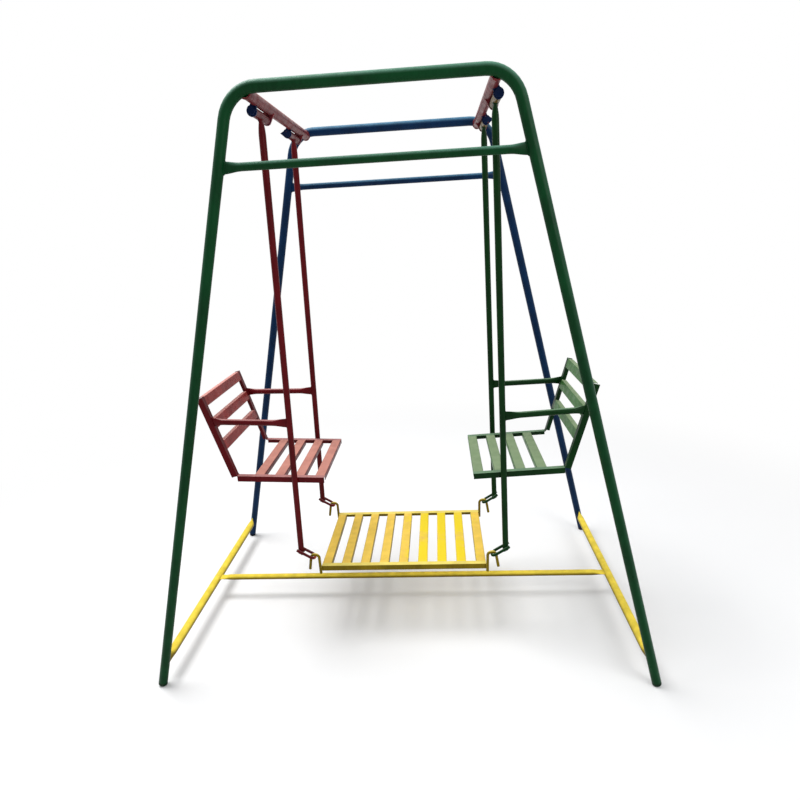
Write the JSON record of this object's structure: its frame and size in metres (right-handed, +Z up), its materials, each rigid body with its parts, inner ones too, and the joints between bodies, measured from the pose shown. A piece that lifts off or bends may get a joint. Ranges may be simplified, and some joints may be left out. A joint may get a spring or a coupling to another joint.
{
  "type": "glider swing",
  "caption": "Standing glider swing: two facing slatted seats and a slatted footrest platform on long hangers, under a frame of leaning steel U-tubes.",
  "frame": {"origin": "on the floor, at the middle of the four feet", "axes": "+X to the right, from the red seat to the green seat; +Y to the rear, along every pivot axis; +Z up"},
  "size_m": [1.827, 1.1442, 1.9158],
  "materials": {
    "frame_green": "worn gloss paint",
    "cap_green": "worn gloss paint",
    "frame_blue": "gloss paint",
    "cap_blue": "gloss paint",
    "beam_red": "gloss paint",
    "base_yellow": "gloss paint",
    "ear_blue": "gloss paint",
    "ear_red": "gloss paint",
    "bolt_blue": "painted over with the ears, dull",
    "swing_red": "gloss paint",
    "seat_slat_red": "satin paint, dusty",
    "back_slat_red": "satin paint, dusty",
    "swing_green": "gloss paint",
    "slat_green": "satin paint, dusty",
    "platform_yellow": "gloss paint",
    "platform_slat_yellow": "gloss paint, scuffed"
  },
  "bodies": {
    "frame": {"base_tie": "base_yellow", "front_crossbar": "frame_green", "front_foot_caps": "cap_green", "front_frame_tube": "frame_green", "left_base_rail": "base_yellow", "left_front_far_ear": "ear_red", "left_front_near_ear": "ear_blue", "left_rear_far_ear": "ear_red", "left_rear_near_ear": "ear_blue", "left_top_beam": "beam_red", "pivot_bolts": "bolt_blue", "pivot_nuts": "bolt_blue", "pivot_washers": "bolt_blue", "rear_crossbar": "frame_blue", "rear_foot_caps": "cap_blue", "rear_frame_tube": "frame_blue", "right_base_rail": "base_yellow", "right_front_far_ear": "ear_red", "right_front_near_ear": "ear_blue", "right_rear_far_ear": "ear_red", "right_rear_near_ear": "ear_blue", "right_top_beam": "beam_red"},
    "left_swing": {"left_back_slat_1": "back_slat_red", "left_back_slat_2": "back_slat_red", "left_back_slat_3": "back_slat_red", "left_front_arm": "swing_red", "left_front_bush": "swing_red", "left_front_hanger": "swing_red", "left_front_seat_side": "swing_red", "left_loops": "swing_red", "left_rear_arm": "swing_red", "left_rear_bush": "swing_red", "left_rear_hanger": "swing_red", "left_rear_seat_side": "swing_red", "left_seat_slat_1": "seat_slat_red", "left_seat_slat_2": "seat_slat_red", "left_seat_slat_3": "seat_slat_red", "left_seat_slat_4": "seat_slat_red"},
    "platform": {"platform_front_rail": "platform_yellow", "platform_hooks": "platform_yellow", "platform_rear_rail": "platform_yellow", "platform_slats": "platform_slat_yellow"},
    "right_swing": {"right_back_slat_1": "slat_green", "right_back_slat_2": "slat_green", "right_back_slat_3": "slat_green", "right_front_arm": "swing_green", "right_front_bush": "swing_green", "right_front_hanger": "swing_green", "right_front_seat_side": "swing_green", "right_loops": "swing_green", "right_rear_arm": "swing_green", "right_rear_bush": "swing_green", "right_rear_hanger": "swing_green", "right_rear_seat_side": "swing_green", "right_seat_slat_1": "slat_green", "right_seat_slat_2": "slat_green", "right_seat_slat_3": "slat_green", "right_seat_slat_4": "slat_green"}
  },
  "joints": [
    {"name": "left_swing_hang", "type": "hinge", "parent": "frame", "child": "left_swing", "pos_m": [-0.35, 0, 1.862], "axis": [0, 1, 0], "range_deg": [-25, 25]},
    {"name": "right_swing_hang", "type": "hinge", "parent": "frame", "child": "right_swing", "pos_m": [0.35, 0, 1.862], "axis": [0, 1, 0], "range_deg": [-25, 25]},
    {"name": "platform_hang", "type": "hinge", "parent": "left_swing", "child": "platform", "pos_m": [-0.35, 0, 0.34], "axis": [0, 1, 0], "range_deg": [-25, 25]}
  ],
  "couplings": [
    {"joint": "right_swing_hang", "follows": "left_swing_hang", "ratio": 1},
    {"joint": "platform_hang", "follows": "left_swing_hang", "ratio": -1}
  ]
}
